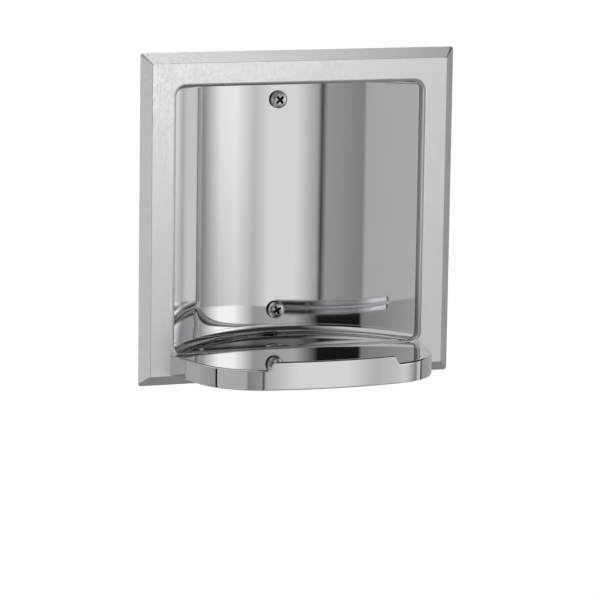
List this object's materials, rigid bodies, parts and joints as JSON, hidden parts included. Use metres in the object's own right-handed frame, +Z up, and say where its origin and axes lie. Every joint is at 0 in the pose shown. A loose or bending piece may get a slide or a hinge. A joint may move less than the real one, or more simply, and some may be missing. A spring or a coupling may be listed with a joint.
{
  "type": "recessed toilet paper holder",
  "caption": "Square stainless recessed toilet paper holder: bevelled wall flange, curved mirror-polished recess and a projecting D-shaped shelf with a raised stop, held by a wall clamp.",
  "frame": {"origin": "centre of the flange, on the plane where its rim rests on the wall", "axes": "+X to the right, +Y into the wall with the front facing -Y, +Z up"},
  "size_m": [0.1588, 0.123, 0.1588],
  "materials": {
    "satin_stainless": "satin, fine grain",
    "polished_stainless": "mirror polished",
    "screw_steel": "bright",
    "mill_stainless": "mill finish with weld tint",
    "zinc_plate": "zinc plated"
  },
  "bodies": {
    "housing": {"flange": "satin_stainless", "recess_wall": "polished_stainless", "recess_top": "polished_stainless", "recess_floor": "polished_stainless", "shelf_pan": "polished_stainless", "shelf_lip": "polished_stainless", "mounting_screws": "screw_steel", "screw_doublers": "mill_stainless"},
    "clamp": {"wall_clamp": "zinc_plate", "clamp_nuts": "zinc_plate"}
  },
  "joints": [
    {"name": "clamp_travel", "type": "slide", "parent": "housing", "child": "clamp", "axis": [0, 1, 0], "range_m": [-0.0065, 0.009]}
  ]
}
